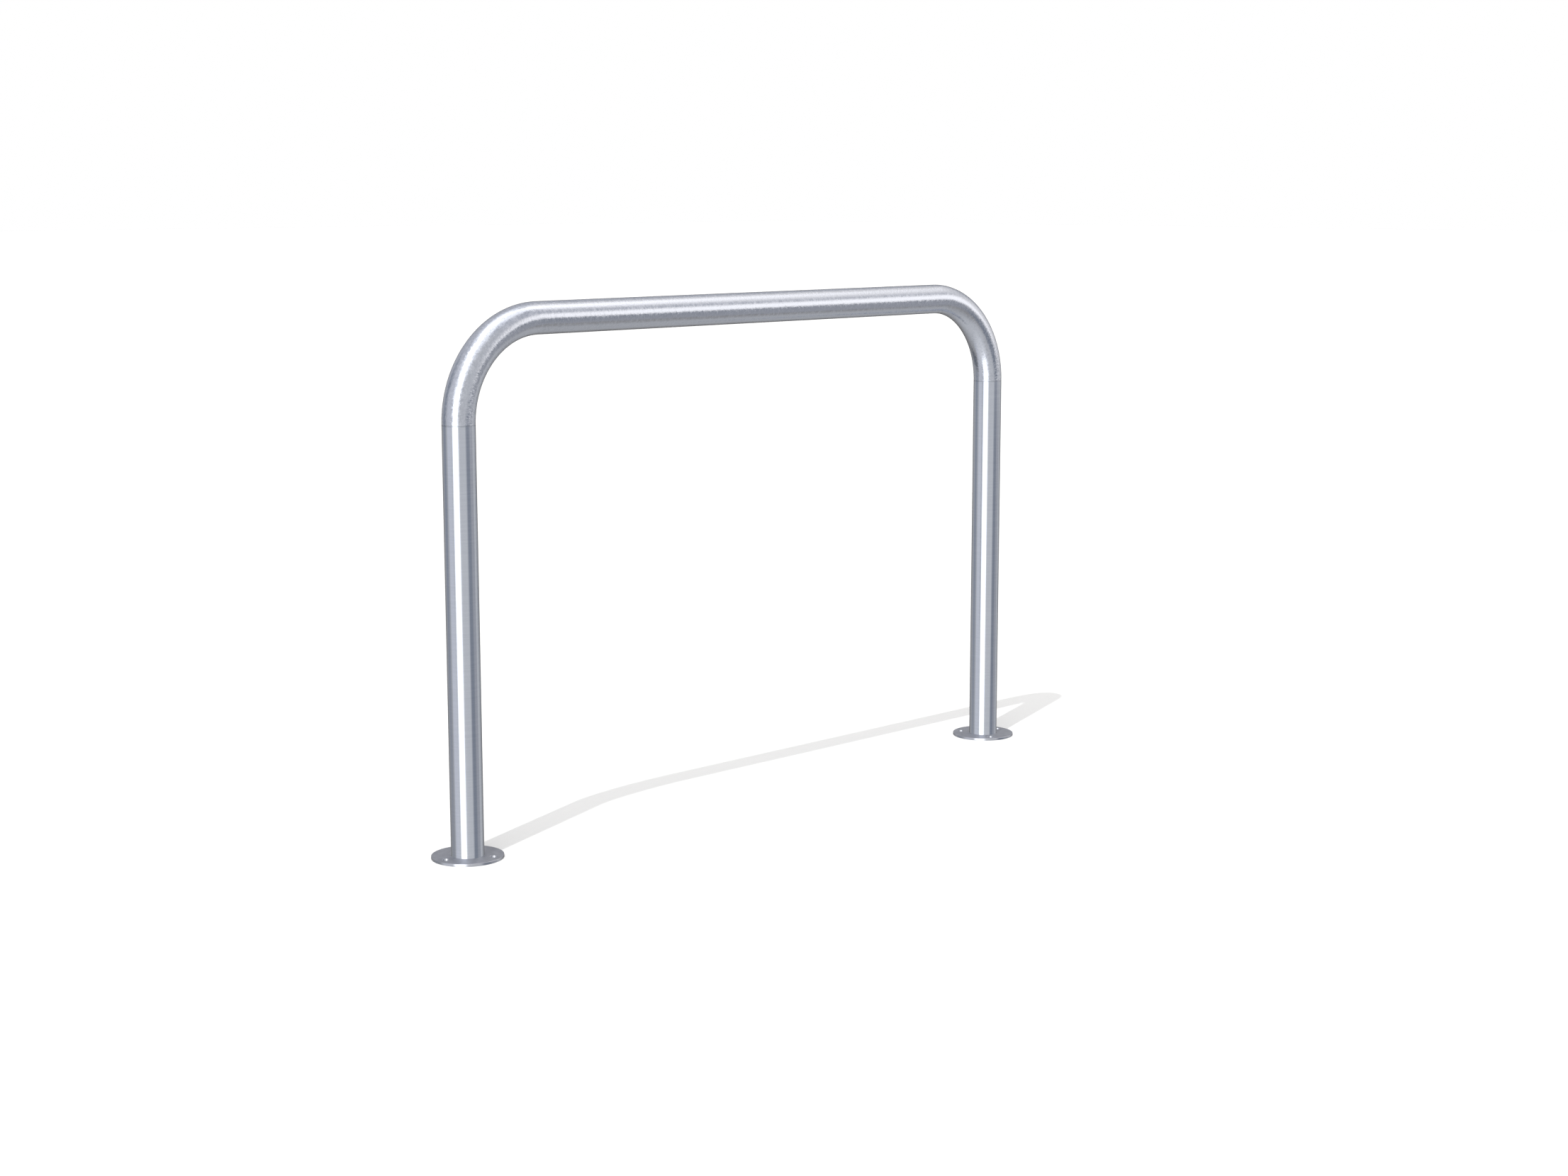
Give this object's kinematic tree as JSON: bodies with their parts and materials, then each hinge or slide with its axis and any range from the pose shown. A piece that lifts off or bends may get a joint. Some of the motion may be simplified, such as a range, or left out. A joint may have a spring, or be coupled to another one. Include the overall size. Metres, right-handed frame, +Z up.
{
  "type": "crowd control barrier",
  "caption": "Fixed hoop barrier of bent round steel tube, with a straight top rail, rounded corners, upright legs and round bolt-down base flanges.",
  "frame": {"origin": "on the ground, midway between the two legs", "axes": "+X along the hoop from the left leg to the right leg, +Y through the hoop away from the viewer, +Z up"},
  "size_m": [1.5716, 0.132, 1],
  "materials": {
    "rail_steel": "satin, finely mottled zinc grey with short streaks across the tube",
    "leg_steel": "satin, fine brushing round the tube",
    "flange_steel": "dull zinc grey, faintly mottled",
    "weld_steel": "ground smooth",
    "sleeve_steel": "plain mill finish, hidden inside the tube"
  },
  "bodies": {
    "root": {"hoop_top": "rail_steel", "left_leg": "leg_steel", "right_leg": "leg_steel", "left_base_flange": "flange_steel", "right_base_flange": "flange_steel", "left_foot_weld": "weld_steel", "right_foot_weld": "weld_steel", "left_joint_weld": "weld_steel", "right_joint_weld": "weld_steel", "left_joint_sleeve": "sleeve_steel", "right_joint_sleeve": "sleeve_steel"}
  },
  "joints": []
}
